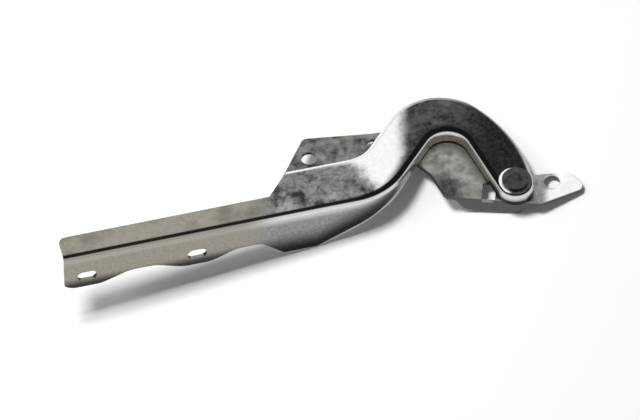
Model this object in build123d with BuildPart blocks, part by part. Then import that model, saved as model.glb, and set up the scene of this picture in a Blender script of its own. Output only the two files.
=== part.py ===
"""Gooseneck hood hinge: a flanged pressed arm riveted to a pressed body bracket.

Frame: the origin is the centre of the two hood bolt slots on the outer face of the hood flange.
+X runs along the straight arm from the hood end to the pivot, +Y points from the hood flange
into the arm's web, and +Z is the pivot axis, out of the web's show face. Millimetres.
"""
from build123d import *
import os
from math import cos, radians, sin, tan

os.makedirs("parts", exist_ok=True)

# Sheet and press work
sheet = 2.6            # thickness of the arm and of the bracket
bend_outer = 5.0       # outside radius of the arm's folds
rim_depth = 10.0       # fold depth round the gooseneck, from the show face
under_gap = 1.2        # air between the arm's rim and the bracket plate

# Hood bolt slots in the front flange
bolt_pitch = 78.0
slot_length = 14.0
slot_width = 9.0
slot_drop = 23.0       # from the show face down to the slots' centres

# Straight arm
hood_overhang = 16.0   # from the first slot's centre to the arm's end
strip_width = 19.0
wide_width = 39.5
shoulder_x = 95.0
shoulder_angle = 48.0

# Gooseneck: its edge lines are told by their lean and their distance from the pivot
pivot_x = 263.0
pivot_y = -9.5
eye_radius = 13.2
leg_lean = 12.9        # front edge of the leg, against the Y axis
leg_splay = 3.6        # back edge of the leg, the other way
flank_angle = 36.0     # of the line that the arch's back runs down to the leg on
flank_reach = 35.4
neck_angle = 46.0
neck_reach = 69.6      # from the pivot to the neck's front edge
neck_width = 34.0
throat_radius = 15.2
crest_radius = 41.0
flank_radius = 108.0
neck_inner_radius = 52.0
neck_outer_radius = 25.0
end_round = 5.0

# Front flange: depth of its lobes, waists and belly below the show face
lobe_depth = 34.0
waist_depth = 26.0
belly_depth = 42.0
waist_gap = 37.0       # from the second slot to the next waist
belly_gap = 38.0       # from that waist to the belly
rise_back = 97.0       # a knee on the way up from the belly to the rim, before the pivot
rise_depth = 21.0
rim_back = 63.0        # where the plain rim starts, before the pivot
lobe_half = 10.0
waist_half = 9.0
belly_half = 12.0
scallop_radius = 22.0
belly_radius = 30.0
rise_radius = 52.0

# Pivot stack
shoulder_radius = 5.0  # rivet shoulder that the arm turns on
tail_radius = 4.0
head_radius = 9.3
head_height = 3.6
run_clearance = 0.05   # between the bush and the rivet shoulder, all round
tight_clearance = 0.02
bush_wall = 1.2
thrust_thickness = 1.2
thrust_radius = 8.4
washer_thickness = 1.0
washer_radius = 11.4
axial_play = 0.06
tail_head_radius = 6.6
tail_head_height = 2.4

# Body bracket, told from the pivot
boss_top_radius = 8.8
boss_base_radius = 10.5
near_flange_depth = 12.0
near_run = 66.0        # length of the folded near edge
near_x = 14.0          # its end by the pivot
near_y = -15.5
run_out = 9.0          # how far the near flange tapers at each end
body_bolt_radius = 5.5
body_bolt_pitch = 46.0
body_bolt_x = -108.0   # middle of the front pair
body_bolt_y = 63.0
rear_bolt_x = 27.0
rear_bolt_y = 1.5
lobe_tip = 29.0        # from the first front bolt to the lobe's pointed near corner
lobe_near = 20.0       # from the front bolts to the lobe's near edge
lobe_far = 19.0        # and to its far corner
lobe_fall = 12.0       # and to its far edge by the neck
cheek_x = -62.0        # where the near edge of the lobe turns in
waist_in_x = -53.0
waist_in_y = 29.0
back_x = -22.0         # far edge under the arch
back_y = 70.0
leg_side_x = 8.0
leg_side_y = 34.0
tab_root_x = 15.0      # rear tab
tab_root_y = 12.0
tab_far_x = 42.0
tab_far_y = 8.0
tab_tip_x = 49.5
tab_tip_y = -9.0
back_round = 30.0
window_length = 17.0
window_width = 9.5
window_x = -17.8
window_y = 3.5
bracket_lean = -20.0   # of the bracket's near edge, against the straight arm
corner_round = 5.0
fold_round = 2.2       # outside radius of the bracket's near fold

# Heights along the pivot axis
show_face = slot_drop
arm_under = show_face - sheet
boss_top = arm_under - axial_play - thrust_thickness
plate_top = show_face - rim_depth - under_gap
washer_bottom = show_face + axial_play
head_bottom = washer_bottom + washer_thickness + axial_play
arm_bottom = show_face - belly_depth
lobe = show_face - lobe_depth
waist = show_face - waist_depth
rim = show_face - rim_depth
rise_level = show_face - rise_depth
hood_end = -bolt_pitch / 2 - hood_overhang
waist_x = bolt_pitch / 2 + waist_gap
belly_x = waist_x + belly_gap
rise_x = pivot_x - rise_back
rim_start_x = pivot_x - rim_back
back_limit = shoulder_x + (wide_width - strip_width) / tan(radians(shoulder_angle))
overrun = 8.0          # how far cutting tools pass the piece they cut


def from_pivot(x, y):
    """Point given from the pivot axis, in the part's frame."""
    return (pivot_x + x, pivot_y + y)


def on_eye(radius, heading):
    """Point on a circle round the pivot, at a heading in degrees from +X."""
    return from_pivot(radius * cos(radians(heading)), radius * sin(radians(heading)))


def meet(first, second):
    """Corner of two edge lines, each told by its outward heading and its reach from the pivot."""
    (heading_1, reach_1), (heading_2, reach_2) = first, second
    turn = sin(radians(heading_2 - heading_1))
    x = (reach_1 * sin(radians(heading_2)) - reach_2 * sin(radians(heading_1))) / turn
    y = (reach_2 * cos(radians(heading_1)) - reach_1 * cos(radians(heading_2))) / turn
    return from_pivot(x, y)


def gooseneck_corners(inset):
    """Corners and radii from the wide part's back edge round the neck, arch and leg."""
    back = (90, wide_width - pivot_y - inset)
    neck_back = (90 + neck_angle, neck_reach + neck_width - inset)
    flank = (flank_angle, flank_reach - inset)
    leg_back = (-leg_splay, eye_radius - inset)
    leg_front = (180 + leg_lean, eye_radius - inset)
    neck_front = (neck_angle - 90, -neck_reach - inset)
    front = (-90, pivot_y - inset)
    return [
        (meet(back, neck_back), neck_outer_radius + inset),
        (meet(neck_back, flank), crest_radius - inset),
        (meet(flank, leg_back), flank_radius - inset),
        (on_eye(eye_radius - inset, -leg_splay), 0),
        (on_eye(eye_radius - inset, 180 + leg_lean), 0),
        (meet(leg_front, neck_front), throat_radius + inset),
        (meet(neck_front, front), neck_inner_radius - inset),
    ]


def rounded_face(sketch, corners):
    """Fill a polygon in this sketch, each corner rounded by its own radius."""
    with BuildLine() as border:
        Polyline(*[point for point, radius in corners], close=True)
    make_face(border.edges())
    for point, radius in corners:
        if radius > 0:
            fillet(sketch.vertices().sort_by_distance(Vector(*point))[0], radius)


# Hollow of the arm: its outline one sheet in from the folds, run out past the open sides
with BuildPart() as hollow:
    with BuildSketch(Plane.XY.offset(arm_under)) as hollow_outline:
        open_corners = [
            ((hood_end - overrun, sheet), 0),
            ((hood_end - overrun, wide_width - sheet), 0),
        ]
        rounded_face(hollow_outline, open_corners + gooseneck_corners(sheet))
        with Locations(from_pivot(0, 0)):
            Circle(eye_radius - sheet)
    extrude(amount=-belly_depth)
    ceiling = hollow.faces().sort_by(Axis.Z)[-1]
    folded = ceiling.edges().filter_by(lambda edge: edge.center().X > hood_end - overrun / 2)
    fillet(folded, bend_outer - sheet)

# One pressing: web, rim all round the gooseneck, and the deep scalloped hood flange
with BuildPart() as hinge_arm:
    with BuildSketch(Plane.XY.offset(show_face)) as arm_outline:
        plain_corners = [
            ((hood_end, 0), 0),
            ((hood_end, strip_width), end_round),
            ((shoulder_x, strip_width), 0),
            ((back_limit, wide_width), 0),
        ]
        rounded_face(arm_outline, plain_corners + gooseneck_corners(0))
        with Locations(from_pivot(0, 0)):
            Circle(eye_radius)
    extrude(amount=-belly_depth)
    top = hinge_arm.faces().sort_by(Axis.Z)[-1]
    folds = top.edges().filter_by(
        lambda edge: edge.center().X > back_limit or edge.center().Y < sheet
    )
    fillet(folds, bend_outer)
    add(hollow.part, mode=Mode.SUBTRACT)
    with BuildSketch(Plane.XZ) as flange_edge:
        far_x = pivot_x + eye_radius + overrun
        left_x = hood_end - overrun
        low = arm_bottom - overrun
        rounded_face(flange_edge, [
            ((left_x, low), 0),
            ((left_x, lobe + lobe_half), 0),
            ((hood_end + end_round, lobe), lobe_half),
            ((lobe_half - bolt_pitch / 2, lobe), scallop_radius),
            ((-waist_half, waist), scallop_radius),
            ((waist_half, waist), scallop_radius),
            ((bolt_pitch / 2 - lobe_half, lobe), scallop_radius),
            ((bolt_pitch / 2 + lobe_half, lobe), scallop_radius),
            ((waist_x - waist_half, waist), scallop_radius),
            ((waist_x + waist_half, waist), waist_half),
            ((belly_x - belly_half, arm_bottom), waist_half),
            ((belly_x + belly_half, arm_bottom), belly_radius),
            ((rise_x, rise_level), rise_radius),
            ((rim_start_x, rim), rise_radius),
            ((far_x, rim), 0),
            ((far_x, low), 0),
        ])
    extrude(amount=pivot_x, both=True, mode=Mode.SUBTRACT)
    with BuildSketch(Plane.XY.offset(rim)):
        with BuildLine():
            middle = wide_width / 2
            Polyline(
                (hood_end - overrun, middle),
                (rise_x - belly_half, middle),
                (rim_start_x, wide_width),
                (rim_start_x, pivot_x),
                (hood_end - overrun, pivot_x),
                close=True,
            )
        make_face()
    extrude(amount=-belly_depth, mode=Mode.SUBTRACT)
    with BuildSketch(Plane.XZ):
        with GridLocations(bolt_pitch, 0, 2, 1):
            SlotOverall(slot_length, slot_width)
    extrude(amount=sheet * 2, both=True, mode=Mode.SUBTRACT)
    with BuildSketch(Plane.XY.offset(show_face)):
        with Locations(from_pivot(0, 0)):
            Circle(shoulder_radius + run_clearance + bush_wall + tight_clearance)
    extrude(amount=-rim_depth, mode=Mode.SUBTRACT)
hinge_arm.part.label = "hinge_arm"
export_step(hinge_arm.part, "parts/hinge_arm.step")

# Body bracket: a flat pressing under the gooseneck, with a drawn boss at the pivot
lean = radians(bracket_lean)
near_start = from_pivot(near_x, near_y)
near_end = (near_start[0] - near_run * cos(lean), near_start[1] - near_run * sin(lean))
first_bolt = body_bolt_x - body_bolt_pitch / 2
last_bolt = body_bolt_x + body_bolt_pitch / 2
bracket_corners = [
    (near_end, corner_round),
    (from_pivot(waist_in_x, waist_in_y), corner_round * 2),
    (from_pivot(cheek_x, body_bolt_y - lobe_near), corner_round * 2),
    (from_pivot(first_bolt - lobe_tip, body_bolt_y - lobe_near), corner_round),
    (from_pivot(first_bolt, body_bolt_y + lobe_far), corner_round),
    (from_pivot(last_bolt, body_bolt_y + lobe_fall), back_round),
    (from_pivot(back_x, back_y), back_round),
    (from_pivot(leg_side_x, leg_side_y), back_round),
    (from_pivot(tab_root_x, tab_root_y), corner_round),
    (from_pivot(tab_far_x, tab_far_y), corner_round * 2),
    (from_pivot(tab_tip_x, tab_tip_y), corner_round),
    (near_start, 0),
]
with BuildPart() as body_bracket:
    with BuildSketch(Plane.XY.offset(plate_top)) as bracket_outline:
        rounded_face(bracket_outline, bracket_corners)
        with Locations(from_pivot(0, 0)):
            Circle(boss_base_radius - sheet, mode=Mode.SUBTRACT)
    extrude(amount=-sheet)
    near_middle = ((near_start[0] + near_end[0]) / 2, (near_start[1] + near_end[1]) / 2, plate_top)
    near_face = Plane(near_middle, x_dir=(cos(lean), sin(lean), 0), z_dir=(sin(lean), -cos(lean), 0))
    with BuildSketch(near_face) as near_flange:
        reach = near_run / 2 - corner_round
        rounded_face(near_flange, [
            ((-reach, 0), 0),
            ((-reach + run_out, -near_flange_depth), corner_round),
            ((reach - run_out, -near_flange_depth), corner_round),
            ((reach, 0), 0),
        ])
    extrude(amount=-sheet)
    fillet(body_bracket.edges().sort_by_distance(Vector(*near_middle))[0], fold_round)
    with BuildSketch(Plane.XZ.offset(-pivot_y)):
        with BuildLine():
            Polyline(
                (pivot_x + tail_radius, boss_top),
                (pivot_x + boss_top_radius, boss_top),
                (pivot_x + boss_base_radius, plate_top),
                (pivot_x + boss_base_radius, plate_top - sheet),
                (pivot_x + boss_base_radius - sheet, plate_top - sheet),
                (pivot_x + boss_top_radius - sheet / 2, boss_top - sheet),
                (pivot_x + tail_radius, boss_top - sheet),
                close=True,
            )
        make_face()
    revolve(axis=Axis((pivot_x, pivot_y, 0), (0, 0, 1)))
    with Locations((pivot_x, pivot_y, boss_top)):
        Hole(tail_radius + tight_clearance)
    holes = [
        from_pivot(first_bolt, body_bolt_y),
        from_pivot(last_bolt, body_bolt_y),
        from_pivot(rear_bolt_x, rear_bolt_y),
    ]
    with BuildSketch(Plane.XY.offset(plate_top)):
        with Locations(*holes):
            Circle(body_bolt_radius)
        with Locations(Location(from_pivot(window_x, window_y), bracket_lean)):
            RectangleRounded(window_width, window_length, sheet)
    extrude(amount=-sheet, mode=Mode.SUBTRACT)
body_bracket.part.label = "body_bracket"
export_step(body_bracket.part, "parts/body_bracket.step")

# Shoulder rivet: domed head above the arm, shoulder in the bush, tail peened under the boss
with BuildPart() as pivot_rivet:
    with BuildSketch(Plane.XZ.offset(-pivot_y)):
        with BuildLine():
            tail_bottom = boss_top - sheet - tail_head_height
            side_top = head_bottom + head_height / 2
            Polyline(
                (pivot_x + head_radius, side_top),
                (pivot_x + head_radius, head_bottom),
                (pivot_x + shoulder_radius, head_bottom),
                (pivot_x + shoulder_radius, boss_top),
                (pivot_x + tail_radius, boss_top),
                (pivot_x + tail_radius, boss_top - sheet),
                (pivot_x + tail_head_radius, boss_top - sheet),
                (pivot_x + tail_head_radius, tail_bottom + sheet / 2),
                (pivot_x + tail_radius, tail_bottom),
                (pivot_x, tail_bottom),
                (pivot_x, head_bottom + head_height),
            )
            crown = (pivot_x, head_bottom + head_height)
            TangentArc(crown, (pivot_x + head_radius, side_top), tangent=(1, 0))
        make_face()
    revolve(axis=Axis((pivot_x, pivot_y, 0), (0, 0, 1)))
pivot_rivet.part.label = "pivot_rivet"
export_step(pivot_rivet.part, "parts/pivot_rivet.step")


def ring(outer, bottom, height):
    """Flat ring round the rivet's shoulder, in the active part."""
    with BuildSketch(Plane.XY.offset(bottom)) as section:
        with Locations(from_pivot(0, 0)):
            Circle(outer)
            Circle(shoulder_radius + run_clearance, mode=Mode.SUBTRACT)
    extrude(section.sketch, amount=height)


# Bush pressed into the arm's eye, and the two washers that carry the side load
with BuildPart() as pivot_bush:
    ring(shoulder_radius + run_clearance + bush_wall, arm_under, sheet)
pivot_bush.part.label = "pivot_bush"
export_step(pivot_bush.part, "parts/pivot_bush.step")

with BuildPart() as head_washer:
    ring(washer_radius, washer_bottom, washer_thickness)
head_washer.part.label = "head_washer"
export_step(head_washer.part, "parts/head_washer.step")

with BuildPart() as thrust_washer:
    ring(thrust_radius, boss_top, thrust_thickness)
thrust_washer.part.label = "thrust_washer"
export_step(thrust_washer.part, "parts/thrust_washer.step")
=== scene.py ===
# %% [markdown]
# # A zinc-plated gooseneck hood hinge
# The real object is two steel pressings, an arm and a bracket, joined by one rivet. The packed
# model already holds every piece at its real size, so this lesson adds no shape. It gives each
# piece its plating, sets a white studio round it, and looks at it from above the folded flange.

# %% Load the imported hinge
import math

import bpy
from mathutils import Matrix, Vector


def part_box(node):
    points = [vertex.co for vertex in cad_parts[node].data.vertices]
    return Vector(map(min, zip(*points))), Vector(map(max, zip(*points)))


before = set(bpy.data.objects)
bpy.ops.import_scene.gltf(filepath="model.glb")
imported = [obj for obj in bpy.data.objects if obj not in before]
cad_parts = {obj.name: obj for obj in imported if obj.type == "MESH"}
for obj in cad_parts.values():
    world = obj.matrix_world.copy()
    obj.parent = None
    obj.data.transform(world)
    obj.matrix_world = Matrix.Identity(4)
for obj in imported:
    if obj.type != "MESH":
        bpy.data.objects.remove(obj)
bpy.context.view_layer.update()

MM = 0.001        # one millimetre, in the scene's metres
print("pieces:", sorted(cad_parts))

# %% [markdown]
# ## Where things are
# Every place in this lesson is told from the pivot, the one point that both pressings share. The
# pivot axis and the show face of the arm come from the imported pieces' own boxes, so nothing has
# to be measured twice. Directions are level headings in degrees, counted from +X, which runs along
# the straight strip to the pivot's end. The heading from the pivot to the bracket's tab is nearly
# the width of the picture as well, so the camera's left and back are told from it.

# %% Measure the hinge
arm_low, arm_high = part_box("hinge_arm")
rivet_low, rivet_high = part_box("pivot_rivet")
pivot = (rivet_low + rivet_high) / 2
show_face = arm_high.z


def from_pivot(x_mm, y_mm, z):
    """Point this far from the pivot axis, at this height."""
    return Vector((pivot.x + x_mm * MM, pivot.y + y_mm * MM, z))


middle = from_pivot(-137, 0, show_face)
print("pivot in mm:", [round(value / MM, 2) for value in pivot])

# %% Name the directions
TO_TAB = -14              # rightwards in the picture
TO_STRIP = TO_TAB + 180   # leftwards in the picture
TO_BACK = TO_TAB + 90     # away from the camera
OFF_FLANGE = 90           # straight away from the folded flange
ALONG_NECK = 22
INTO_THROAT = -44         # from the neck into the hollow of the gooseneck


def flat_heading(degrees):
    """Level direction, told in degrees from the +X axis."""
    return Vector((math.cos(math.radians(degrees)), math.sin(math.radians(degrees)), 0))


print("towards the tab:", [round(value, 2) for value in flat_heading(TO_TAB)])

# %% [markdown]
# ## A few steps that every material uses
# A material is a tree of nodes. Adding each node by hand takes four lines, so the lesson begins
# with four small steps: add a node, plug a value or another node into it, calculate, and ramp
# one number into a mask from 0 to 1. The rest reads almost like a sentence.

# %% Steps for node trees
def add_node(tree, kind, **settings):
    """New shader node of this kind with these settings."""
    node = tree.nodes.new("ShaderNode" + kind)
    for name, value in settings.items():
        setattr(node, name, value)
    return node


def plug(tree, value, socket):
    """Link another node's output to a socket, or write a plain value there."""
    if isinstance(value, bpy.types.NodeSocket):
        tree.links.new(value, socket)
    else:
        socket.default_value = value


def calculate(tree, operation, *values):
    """Result of one calculation with sockets or numbers."""
    node = add_node(tree, "Math", operation=operation)
    for value, socket in zip(values, node.inputs):
        plug(tree, value, socket)
    return node.outputs[0]


def ramp(tree, value, start, full, ends="SMOOTHSTEP"):
    """Mask that goes from 0 where the value is at start to 1 where it is at full."""
    node = add_node(tree, "MapRange", interpolation_type=ends)
    plug(tree, value, node.inputs["Value"])
    plug(tree, start, node.inputs["From Min"])
    plug(tree, full, node.inputs["From Max"])
    return node.outputs[0]


print("steps: add_node, plug, calculate, ramp")

# %% Steps that read the piece
def own_place(tree):
    """Place on the piece itself, so that a finish travels with its piece."""
    return add_node(tree, "TexCoord").outputs["Object"]


def along_axis(tree, vector, axis):
    """One of the three parts of a vector."""
    node = add_node(tree, "SeparateXYZ")
    tree.links.new(vector, node.inputs[0])
    return node.outputs[axis]


def noise(tree, scale, detail, roughness):
    """Irregular pattern, with about this many features to a metre."""
    node = add_node(tree, "TexNoise")
    tree.links.new(own_place(tree), node.inputs["Vector"])
    plug(tree, scale, node.inputs["Scale"])
    plug(tree, detail, node.inputs["Detail"])
    plug(tree, roughness, node.inputs["Roughness"])
    return node.outputs["Fac"]


print("steps: own_place, along_axis, noise")

# %% [markdown]
# ## Zinc that is mottled, not painted
# Bright zinc plate is a thin crystalline skin. Up close it breaks into small light and dark
# flecks, and it dulls to smoke where it was handled or heated. Two noise textures of different
# size say where the flecks lie. They are kept in one node group with named sockets, because
# every steel piece uses them with its own values.

# %% Mottle node group
def make_mottle():
    """Group that puts out a fleck mask, a cloud mask and a fine height."""
    group = bpy.data.node_groups.new("zinc mottle", "ShaderNodeTree")
    for label, usual in (("Fleck size mm", 2.4), ("Cloud size mm", 14.0), ("Fleck contrast", 0.5)):
        socket = group.interface.new_socket(label, in_out="INPUT", socket_type="NodeSocketFloat")
        socket.default_value = usual
    for label in ("Flecks", "Clouds", "Height"):
        group.interface.new_socket(label, in_out="OUTPUT", socket_type="NodeSocketFloat")
    inputs = group.nodes.new("NodeGroupInput").outputs
    outputs = group.nodes.new("NodeGroupOutput").inputs

    fleck_scale = calculate(group, "DIVIDE", 1 / MM, inputs["Fleck size mm"])
    cloud_scale = calculate(group, "DIVIDE", 1 / MM, inputs["Cloud size mm"])
    flecks = noise(group, fleck_scale, detail=4.0, roughness=0.62)
    clouds = noise(group, cloud_scale, detail=3.0, roughness=0.55)
    darkest = calculate(group, "MULTIPLY_ADD", inputs["Fleck contrast"], 0.3, 0.2)
    fleck_mask = ramp(group, flecks, darkest, 0.68, ends="LINEAR")
    cloud_mask = ramp(group, clouds, 0.32, 0.68, ends="LINEAR")
    group.links.new(fleck_mask, outputs["Flecks"])
    group.links.new(cloud_mask, outputs["Clouds"])
    group.links.new(flecks, outputs["Height"])
    return group


mottle = make_mottle()
print("mottle group sockets:", [item.name for item in mottle.interface.items_tree])

# %% [markdown]
# ## One recipe for every plated piece
# A plated piece is plain metal whose colour runs between a dark and a light tone. The flecks
# choose between the tones, the clouds pull whole areas towards their middle, and the flecks
# also roughen the dull places. Each piece only states its own numbers.

# %% Tones
def grey(level, warmth=0.0):
    """Grey colour of this level, a little yellow where warmth is above zero."""
    return (level * (1 + warmth * 0.4), level, level * (1 - warmth), 1.0)


def mix_colour(tree, factor, first, second):
    """First colour where the mask is 0, second colour where it is 1."""
    # The Mix node has several sockets of each name, so the colour ones are told by number.
    node = add_node(tree, "Mix", data_type="RGBA")
    tree.links.new(factor, node.inputs[0])
    plug(tree, first, node.inputs[6])
    plug(tree, second, node.inputs[7])
    return node.outputs[2]


def speckle(tree, flecks, dark, light, warmth=0.0):
    """Colour that the flecks choose between a dark and a light grey."""
    return mix_colour(tree, flecks, grey(dark, warmth), grey(light, warmth))


print("steel grey:", [round(value, 2) for value in grey(0.3, 0.17)])

# %% Plated steel
def plated_steel(name, dark, light, fleck_mm=2.4, cloud_mm=14.0, contrast=0.5,
                 smooth=0.24, rough=0.42, warmth=0.02):
    """Zinc-plated steel; returns the material, its shader and its colour and fleck sockets."""
    material = bpy.data.materials.new(name)
    material.use_nodes = True
    tree = material.node_tree
    shader = tree.nodes["Principled BSDF"]
    shader.inputs["Metallic"].default_value = 1.0
    group = add_node(tree, "Group", node_tree=mottle)
    group.inputs["Fleck size mm"].default_value = fleck_mm
    group.inputs["Cloud size mm"].default_value = cloud_mm
    group.inputs["Fleck contrast"].default_value = contrast
    flecks = group.outputs["Flecks"]

    flecked = speckle(tree, flecks, dark, light, warmth)
    average = grey((dark + light) / 2, warmth)
    colour = mix_colour(tree, group.outputs["Clouds"], flecked, average)
    tree.links.new(colour, shader.inputs["Base Color"])
    dull = ramp(tree, flecks, 0.0, 1.0, ends="LINEAR")
    dull.node.inputs["To Min"].default_value = rough
    dull.node.inputs["To Max"].default_value = smooth
    tree.links.new(dull, shader.inputs["Roughness"])
    bump = add_node(tree, "Bump")
    bump.inputs["Strength"].default_value = 0.12
    bump.inputs["Distance"].default_value = 0.1 * MM
    tree.links.new(group.outputs["Height"], bump.inputs["Height"])
    tree.links.new(bump.outputs[0], shader.inputs["Normal"])
    return material, shader, colour, flecks


def dress(node, material):
    """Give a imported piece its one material."""
    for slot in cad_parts[node].material_slots:
        slot.material = material
    print(node, "wears", material.name)


print("recipe: plated_steel, dress")

# %% [markdown]
# ## Masks: where on the piece a tone belongs
# The arm's colour isn't the same all over: some tones belong to its plating, and some are painted
# light and shade. They meet at sharp or soft borders. They could be painted on a picture, but then
# the picture would have to be made and carried along. Each mask below answers one plain question
# instead, such as how far a spot is from the pivot or which way it faces. They read the piece's own
# coordinates, so the colours stay put when the arm swings open.

# %% Masks by distance
def reach(tree, degrees, start_mm, full_mm, wobble_mm=0.0):
    """How far from the pivot along a heading, with a border that can wander."""
    node = add_node(tree, "VectorMath", operation="DOT_PRODUCT")
    tree.links.new(own_place(tree), node.inputs[0])
    node.inputs[1].default_value = flat_heading(degrees)
    distance = node.outputs["Value"]
    home = flat_heading(degrees).dot(pivot) + wobble_mm * MM
    if wobble_mm:
        border = noise(tree, scale=110.0, detail=4.0, roughness=0.65)
        distance = calculate(tree, "MULTIPLY_ADD", border, 2 * wobble_mm * MM, distance)
    return ramp(tree, distance, home + start_mm * MM, home + full_mm * MM)


def near_point(tree, x_mm, y_mm, full_mm, none_mm):
    """How near to an upright line at this place from the pivot."""
    flat = add_node(tree, "VectorMath", operation="MULTIPLY")
    tree.links.new(own_place(tree), flat.inputs[0])
    flat.inputs[1].default_value = (1, 1, 0)
    node = add_node(tree, "VectorMath", operation="DISTANCE")
    tree.links.new(flat.outputs[0], node.inputs[0])
    node.inputs[1].default_value = from_pivot(x_mm, y_mm, 0)
    return ramp(tree, node.outputs["Value"], none_mm * MM, full_mm * MM)


print("masks by distance: reach, near_point")

# %% Masks by depth
def under_web(tree, start_mm, full_mm):
    """How deep under the arm's show face."""
    height = along_axis(tree, own_place(tree), "Z")
    return ramp(tree, height, show_face - start_mm * MM, show_face - full_mm * MM)


def over_belly_edge(tree, full_mm, none_mm):
    """How near to the flange's lower edge, at the belly and up its slope to the neck."""
    place = own_place(tree)
    slope_start = from_pivot(-139, 0, 0).x
    climb = 0.5           # height that the edge gains for each length past the belly
    past_belly = calculate(tree, "SUBTRACT", along_axis(tree, place, "X"), slope_start)
    past_belly = calculate(tree, "MAXIMUM", past_belly, 0.0)
    height = calculate(tree, "MULTIPLY_ADD", past_belly, -climb, along_axis(tree, place, "Z"))
    return ramp(tree, height, arm_low.z + none_mm * MM, arm_low.z + full_mm * MM)


print("masks by depth: under_web, over_belly_edge")

# %% Masks by direction and by chance
def facing(tree, axis, start, full):
    """How far the surface faces along one of the piece's own axes."""
    normal = add_node(tree, "TexCoord").outputs["Normal"]
    return ramp(tree, along_axis(tree, normal, axis), start, full)


def blotches(tree, size_mm, start, full):
    """Soft irregular patches of about this size."""
    patch = noise(tree, 1 / MM / size_mm, detail=4.0, roughness=0.6)
    return ramp(tree, patch, start, full, ends="LINEAR")


def product(tree, *masks):
    """Only where every mask is 1."""
    total = masks[0]
    for mask in masks[1:]:
        total = calculate(tree, "MULTIPLY", total, mask)
    return total


print("masks: facing, blotches, product")

# %% [markdown]
# ## The arm's level faces
# The straight strip is an even warm grey with faint patches. The wide stretch past the shoulder
# is cooler and blotchy. The neck and the back edge of the wide stretch carry a painted highlight,
# almost white. Past the neck, the arch and the leg carry a painted dark reflection, darker still
# towards the pivot.

# %% Level faces
def colour_level_faces(tree, strip, flecks, past_shoulder, past_neck):
    """Colour of the strip and the wide stretch, with a painted highlight on the neck and a painted dark
    reflection on the arch and the leg.
    """
    strip = mix_colour(tree, blotches(tree, 18, 0.46, 0.66), strip, grey(0.21, 0.17))
    wide = speckle(tree, flecks, 0.11, 0.3)
    wide = mix_colour(tree, blotches(tree, 15, 0.47, 0.6), wide, grey(0.035))
    wide = mix_colour(tree, blotches(tree, 11, 0.46, 0.32), wide, grey(0.36))
    level = mix_colour(tree, past_shoulder, strip, wide)

    # Painted highlight: the neck and the back edge of the wide stretch are made almost white.
    bright = speckle(tree, flecks, 0.88, 0.99)
    neck = reach(tree, ALONG_NECK, -88, -74, wobble_mm=9)
    level = mix_colour(tree, neck, level, bright)
    far_edge = reach(tree, OFF_FLANGE, 41.5, 46.5, wobble_mm=2)
    back_edge = product(tree, far_edge, reach(tree, TO_TAB, -150, -112))
    level = mix_colour(tree, back_edge, level, bright)

    # Painted dark reflection: the inner edge, the hollow over the throat and the leg are made nearly
    # black, and the arch is dim.
    painted_dark_reflection = speckle(tree, flecks, 0.005, 0.035)
    inner_edge = product(tree, reach(tree, INTO_THROAT, -80, -73), past_shoulder)
    level = mix_colour(tree, inner_edge, level, painted_dark_reflection)
    painted_dim_reflection = speckle(tree, flecks, 0.01, 0.09)
    painted_dim_reflection = mix_colour(tree, blotches(tree, 14, 0.5, 0.72), painted_dim_reflection, grey(0.13))
    leg = reach(tree, TO_TAB, -50, -15, wobble_mm=4)
    arch = mix_colour(tree, leg, painted_dim_reflection, painted_dark_reflection)
    over_throat = near_point(tree, -38, 39, 18, 26)
    arch = mix_colour(tree, over_throat, arch, painted_dark_reflection)
    return mix_colour(tree, past_neck, level, arch)


print("level faces: strip, wide stretch, neck, arch, leg")

# %% [markdown]
# ## The arm's sides
# The flange's colour stands in for its light from above: a painted highlight under the fold, and
# painted shade at the bottom of the lobes and the belly, with a painted highlight along the belly's
# cut edge. The cut walls of the slots get painted shade. Past the neck only a low rim is left,
# which is lighter, with painted shade under the eye.

# %% Sides
def colour_flange(tree, flecks):
    """Colour of the scalloped flange on the strip, with a painted highlight under the fold and painted
    shade on the lobes and the slot walls.
    """
    flange = speckle(tree, flecks, 0.22, 0.3, 0.17)
    # Painted highlight just under the fold.
    flange = mix_colour(tree, under_web(tree, 9, 3), flange, grey(0.36, 0.15))
    # Painted shade at the bottom of the lobes.
    flange = mix_colour(tree, under_web(tree, 22, 32), flange, grey(0.03, 0.1))
    not_front = facing(tree, "Y", -0.85, -0.6)
    not_back = facing(tree, "Y", 0.85, 0.6)
    # Painted shade on the cut walls of the slots.
    cut_wall = product(tree, under_web(tree, 7, 8), not_front, not_back)
    return mix_colour(tree, cut_wall, flange, grey(0.01))


def colour_belly(tree, flecks):
    """Colour of the belly, with a painted highlight at the top, painted shade at the bottom and a painted
    highlight on its cut edge.
    """
    belly = speckle(tree, flecks, 0.18, 0.3, -0.03)
    # Painted highlight at the top of the belly.
    belly = mix_colour(tree, under_web(tree, 11, 2), belly, grey(0.62))
    # Painted shade towards the belly's lower edge.
    belly = mix_colour(tree, over_belly_edge(tree, 4, 26), belly, grey(0.01))
    # Painted highlight along the belly's cut edge.
    return mix_colour(tree, over_belly_edge(tree, 0.7, 1.6), belly, grey(0.4))


def colour_rim(tree, flecks):
    """Colour of the low rim round the throat, the leg and the eye."""
    rim = speckle(tree, flecks, 0.3, 0.5, 0.1)
    # Painted shade on the rim under the eye.
    painted_shade_under_eye = product(tree, reach(tree, TO_TAB, -24, -14), under_web(tree, 5, 7))
    return mix_colour(tree, painted_shade_under_eye, rim, grey(0.015))


def colour_sides(tree, flecks, past_shoulder, past_neck):
    """Colour of everything on the arm that doesn't face up."""
    side = mix_colour(tree, past_shoulder, colour_flange(tree, flecks), colour_belly(tree, flecks))
    side = mix_colour(tree, past_neck, side, colour_rim(tree, flecks))
    back_rim = product(tree, past_shoulder, facing(tree, "Y", 0.02, 0.1))
    return mix_colour(tree, back_rim, side, speckle(tree, flecks, 0.24, 0.36))


print("sides: flange, belly, rim")

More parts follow.
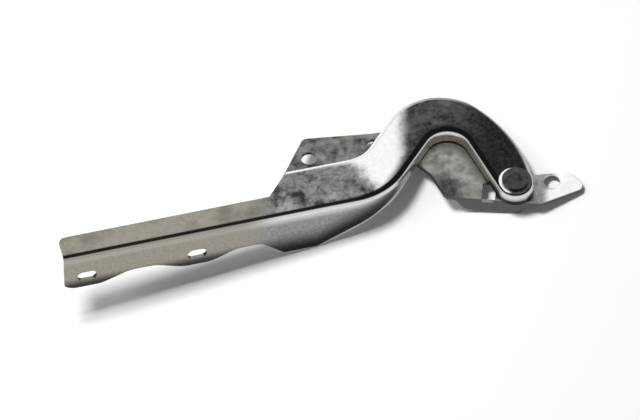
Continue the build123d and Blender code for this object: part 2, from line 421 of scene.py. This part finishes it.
# %% [markdown]
# ## The lines along the folds
# A fold in bright plate mirrors a narrow slice of the whole room, so it shows a thin dark line
# with a light one beside it. Real reflections would move when the hinge is turned. Here the
# lines are drawn by how far the rounded fold has turned from facing up to facing front, which
# keeps them crisp and in place in every view. The neck's line is wider, as in the photograph.

# %% Lines along the folds
def draw_front_fold(tree, colour, past_shoulder):
    """Dark line and light line along the front fold."""
    facing_front = facing(tree, "Y", -0.02, -0.14)
    dark_line = product(tree, facing(tree, "Z", 0.66, 0.8), facing(tree, "Z", 0.995, 0.95), facing_front)
    dark = mix_colour(tree, past_shoulder, grey(0.014, 0.1), grey(0.012))
    colour = mix_colour(tree, dark_line, colour, dark)
    soft_fold = product(tree, facing(tree, "Z", 0.62, 0.76), facing(tree, "Z", 0.9998, 0.992))
    neck_line = product(tree, soft_fold, facing(tree, "Y", -0.003, -0.03), reach(tree, TO_TAB, -140, -85))
    colour = mix_colour(tree, neck_line, colour, grey(0.008))
    light_line = product(tree, facing(tree, "Z", 0.12, 0.3), facing(tree, "Z", 0.72, 0.62), facing_front)
    light = mix_colour(tree, past_shoulder, grey(0.3, 0.17), grey(0.62))
    return mix_colour(tree, light_line, colour, light)


def draw_back_fold(tree, colour, past_shoulder):
    """Painted reflection along the back fold: a highlight at the wide stretch and dark at the leg."""
    turning_back = product(tree, facing(tree, "Z", 0.999, 0.98), facing(tree, "Y", 0.02, 0.1))
    band = product(tree, turning_back, past_shoulder, reach(tree, TO_STRIP, 22, 42))
    # Painted reflection: near white at the wide stretch, nearly black at the leg.
    back_fold_reflection = mix_colour(tree, reach(tree, TO_TAB, -90, -60), grey(0.8), grey(0.32, 0.05))
    back_fold_reflection = mix_colour(tree, reach(tree, TO_TAB, -45, -20), back_fold_reflection, grey(0.05))
    return mix_colour(tree, band, colour, back_fold_reflection)


print("lines: front fold, back fold")

# %% Arm finish
def make_arm_zinc():
    """The arm's plating with its painted highlights, shade and reflections, from its level faces, its
    sides and the lines along its folds.
    """
    material, shader, strip, flecks = plated_steel("arm_zinc", 0.26, 0.365, contrast=0.3,
                                                   warmth=0.17, rough=0.3, smooth=0.18)
    tree = material.node_tree
    past_shoulder = reach(tree, TO_TAB, -190, -158, wobble_mm=6)
    past_neck = reach(tree, TO_TAB, -84, -72, wobble_mm=4)
    level = colour_level_faces(tree, strip, flecks, past_shoulder, past_neck)
    sides = colour_sides(tree, flecks, past_shoulder, past_neck)
    colour = mix_colour(tree, facing(tree, "Z", 0.8, 0.97), sides, level)
    colour = draw_front_fold(tree, colour, past_shoulder)
    colour = draw_back_fold(tree, colour, past_shoulder)
    tree.links.new(colour, shader.inputs["Base Color"])
    return material


dress("hinge_arm", make_arm_zinc())

# %% [markdown]
# ## The bracket
# The bracket is cloudy, with a slightly warm tinge. Its lower corner under the arch gets painted
# shade, and its lobe is darker and patchy. The rear tab carries a painted highlight, the brightest
# place of the whole hinge, with a darker ring round its hole. Its folded edge and cut edges get
# painted shade.

# %% Bracket finish
def make_bracket_zinc():
    """Cloudy plate with painted shade under the arch, a patchy lobe and a painted highlight on the tab.
    """
    material, shader, plate, flecks = plated_steel("bracket_zinc", 0.07, 0.42, contrast=0.35,
                                                   fleck_mm=7.0, cloud_mm=16.0, warmth=0.07)
    tree = material.node_tree
    # Painted shade on the plate's lower corner under the arch.
    painted_shade_under_arch = speckle(tree, flecks, 0.03, 0.14)
    plate = mix_colour(tree, near_point(tree, -50, 13, 8, 19), plate, painted_shade_under_arch)
    lobe = speckle(tree, flecks, 0.08, 0.3, 0.05)
    lobe = mix_colour(tree, blotches(tree, 13, 0.48, 0.64), lobe, grey(0.04))
    plate = mix_colour(tree, reach(tree, TO_STRIP, 85, 105), plate, lobe)
    # Painted highlight: the rear tab is made almost white.
    tab = speckle(tree, flecks, 0.85, 0.98)
    # A darker ring round the tab's hole.
    darker_ring = speckle(tree, flecks, 0.2, 0.6)
    tab = mix_colour(tree, near_point(tree, 25, 3, 6, 9), tab, darker_ring)
    level = mix_colour(tree, reach(tree, TO_TAB, 18, 25), plate, tab)
    # Painted shade on the folded edge and the cut edges, which face sideways.
    colour = mix_colour(tree, facing(tree, "Z", 0.6, 0.9), grey(0.09), level)
    tree.links.new(colour, shader.inputs["Base Color"])
    return material


dress("body_bracket", make_bracket_zinc())

# %% [markdown]
# ## Rivet, washers and bush
# The rivet's head is a dull dark grey, and the plain recipe with its own numbers gives that. The
# washer under it carries a painted highlight, a bright crescent on the side towards the arch, which
# takes one mask more. The bush is bronze, which runs well on steel, and it is hidden in the eye.

# %% Pivot finishes
def make_head_washer_zinc():
    """Washer with a painted highlight on its side towards the arch, and dark elsewhere."""
    material, shader, plate, _ = plated_steel("head_washer_zinc", 0.04, 0.12)
    tree = material.node_tree
    # Painted highlight on the washer's side towards the arch.
    colour = mix_colour(tree, reach(tree, TO_STRIP, 2, 6), plate, grey(0.98))
    tree.links.new(colour, shader.inputs["Base Color"])
    return material


def make_bush_bronze():
    """Plain dull bronze."""
    material = bpy.data.materials.new("bush_bronze")
    material.use_nodes = True
    shader = material.node_tree.nodes["Principled BSDF"]
    shader.inputs["Base Color"].default_value = (0.5, 0.36, 0.2, 1.0)
    shader.inputs["Metallic"].default_value = 1.0
    shader.inputs["Roughness"].default_value = 0.4
    return material


rivet_zinc = plated_steel("rivet_zinc", 0.01, 0.1, fleck_mm=5.0, contrast=0.5, rough=0.5)[0]
washer_zinc = plated_steel("washer_zinc", 0.3, 0.5, contrast=0.2)[0]
dress("head_washer", make_head_washer_zinc())
dress("pivot_rivet", rivet_zinc)
dress("thrust_washer", washer_zinc)
dress("pivot_bush", make_bush_bronze())

# %% [markdown]
# ## The table that it lies on
# Put down loose, the hinge doesn't lie with its web level. It rests on three points: the belly
# of the flange, the folded edge of the bracket, and the bracket's far corner under the arch. The
# white table is the plane through those points, and this gives the photograph's shadow, wide
# apart under the strip's end and tight under the bracket.

# %% Resting plane
def resting_plane():
    """A point of the table and its upward direction, just under the lowest spot of the hinge."""
    half_sheet = 1.3 * MM        # the flange's front face lies at Y = 0
    bracket_low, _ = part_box("body_bracket")
    plate_underside = show_face - 13.8 * MM
    belly = Vector((from_pivot(-149, 0, 0).x, half_sheet, arm_low.z))
    folded_edge = from_pivot(-1, -12.5, bracket_low.z)
    far_corner = from_pivot(-22, 68, plate_underside)
    up = (folded_edge - belly).cross(far_corner - belly).normalized()
    corners = [vertex.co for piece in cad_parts.values() for vertex in piece.data.vertices]
    lowest = min(up.dot(corner) for corner in corners)
    gap = 0.05 * MM
    return belly + up * (lowest - up.dot(belly) - gap), up


rest_point, table_up = resting_plane()
print("table faces:", [round(value, 3) for value in table_up])

# %% [markdown]
# ## White paint that keeps the shadow
# Lamps alone leave a wide table grey at its far end, and a table that glows for every ray would
# light the hinge from below and fill its shadow. So this one glows only for rays that come
# straight from the camera, off metal or through glass. It hardly glows round the hinge, where the
# shadow falls, and it is fully white further out. Seen from below it is clear, so that the hinge
# can be looked at from there.

# %% Table paint
def seen_directly(tree):
    """1 for camera, glossy and transmission rays, else 0."""
    rays = add_node(tree, "LightPath").outputs
    camera_or_glossy = calculate(tree, "MAXIMUM", rays["Is Camera Ray"], rays["Is Glossy Ray"])
    return calculate(tree, "MAXIMUM", camera_or_glossy, rays["Is Transmission Ray"])


def paint_table(paint, shadow_radius=0.27, white_radius=0.5):
    """White paint with a faint glow inside the shadow radius, plain white past the other."""
    paint.use_nodes = True
    tree = paint.node_tree
    shader = tree.nodes["Principled BSDF"]
    shader.inputs["Base Color"].default_value = (0.82, 0.82, 0.82, 1.0)
    shader.inputs["Roughness"].default_value = 0.9
    shader.inputs["Specular IOR Level"].default_value = 0.0
    shader.inputs["Emission Color"].default_value = (1.0, 1.0, 1.0, 1.0)
    away = add_node(tree, "VectorMath", operation="LENGTH")
    tree.links.new(own_place(tree), away.inputs[0])
    glow = ramp(tree, away.outputs["Value"], shadow_radius, white_radius)
    glow.node.inputs["To Min"].default_value = 0.06
    strength = calculate(tree, "MULTIPLY", seen_directly(tree), glow)
    tree.links.new(strength, shader.inputs["Emission Strength"])
    side = add_node(tree, "MixShader")
    tree.links.new(add_node(tree, "NewGeometry").outputs["Backfacing"], side.inputs[0])
    tree.links.new(shader.outputs[0], side.inputs[1])
    tree.links.new(add_node(tree, "BsdfTransparent").outputs[0], side.inputs[2])
    tree.links.new(side.outputs[0], tree.nodes["Material Output"].inputs["Surface"])


table_white = bpy.data.materials.new("table_white")
paint_table(table_white)
print("table paint:", table_white.name)

# %% Table
under_middle = middle - table_up * table_up.dot(middle - rest_point)
bpy.ops.mesh.primitive_plane_add(size=3.0, location=under_middle)
table = bpy.context.object
table.name = "table"
table.rotation_euler = table_up.to_track_quat("Z", "Y").to_euler()
table.data.materials.append(table_white)
print("table's centre in mm:", [round(value / MM, 1) for value in under_middle])

# %% [markdown]
# ## The white room
# Bare metal shows whatever stands round it, so the surroundings are plain white for the camera
# and for reflections. As a light they are much weaker, or they would fill the shadow.

# %% World
def make_world(ambient=0.12):
    """White surroundings for the eye and for reflections, weaker as a light."""
    world = bpy.data.worlds.new("studio")
    bpy.context.scene.world = world
    world.use_nodes = True
    tree = world.node_tree
    ground = tree.nodes["Background"]
    ground.inputs["Color"].default_value = (1.0, 1.0, 1.0, 1.0)
    level = ramp(tree, seen_directly(tree), 0.0, 1.0, ends="LINEAR")
    level.node.inputs["To Min"].default_value = ambient
    tree.links.new(level, ground.inputs["Strength"])
    return world


print("world:", make_world().name)

# %% [markdown]
# ## Camera
# The hinge is seen from in front of the folded flange and well above the web. A long lens keeps
# the straight arm straight, and the picture is centred on the point that the photograph has in
# its middle.

# %% Camera at the photograph's angle
azimuth, elevation = math.radians(345.8), math.radians(52)
to_camera = Vector((math.sin(azimuth) * math.cos(elevation),
                    -math.cos(azimuth) * math.cos(elevation),
                    math.sin(elevation)))
centre = from_pivot(-137, 8.6, show_face)
distance, picture_width = 6.0, 441 * MM

camera_data = bpy.data.cameras.new("camera")
camera = bpy.data.objects.new("camera", camera_data)
bpy.context.collection.objects.link(camera)
camera.location = centre + to_camera * distance
camera.rotation_euler = to_camera.to_track_quat("Z", "Y").to_euler()
camera_data.lens = camera_data.sensor_width * distance / picture_width
bpy.context.scene.camera = camera
print("lens", round(camera_data.lens, 1), "mm")

# %% [markdown]
# ## Lamps
# The key lamp hangs above the table, a little behind and to the left, so the shadow falls towards
# the viewer and to the right. A weaker lamp further to the left softens and widens it. Bare metal
# would show the lamps as burnt white patches, so they stay out of reflections, and the metal
# mirrors only the white room, the table and the hinge's own pieces.

# %% Lamps
def add_lamp(name, back_tilt, left_tilt, size, power):
    """Square soft lamp two metres off, leaning this far to the back and to the left."""
    direction = table_up + flat_heading(TO_BACK) * back_tilt + flat_heading(TO_STRIP) * left_tilt
    direction.normalize()
    data = bpy.data.lights.new(name, "AREA")
    data.size = size
    data.energy = power
    lamp = bpy.data.objects.new(name, data)
    bpy.context.collection.objects.link(lamp)
    lamp.location = middle + direction * 2.0
    lamp.rotation_euler = direction.to_track_quat("Z", "Y").to_euler()
    lamp.visible_camera = False
    lamp.visible_glossy = False
    print(name, "lamp at", [round(value, 2) for value in lamp.location])


add_lamp("key", back_tilt=0.17, left_tilt=0.23, size=0.5, power=41.0)
add_lamp("side", back_tilt=0.12, left_tilt=1.0, size=0.7, power=9.5)

# %% [markdown]
# ## Finish
# The view transform stays plain, so that a colour renders as it is written.

# %% Finish
bpy.context.scene.view_settings.view_transform = "Standard"
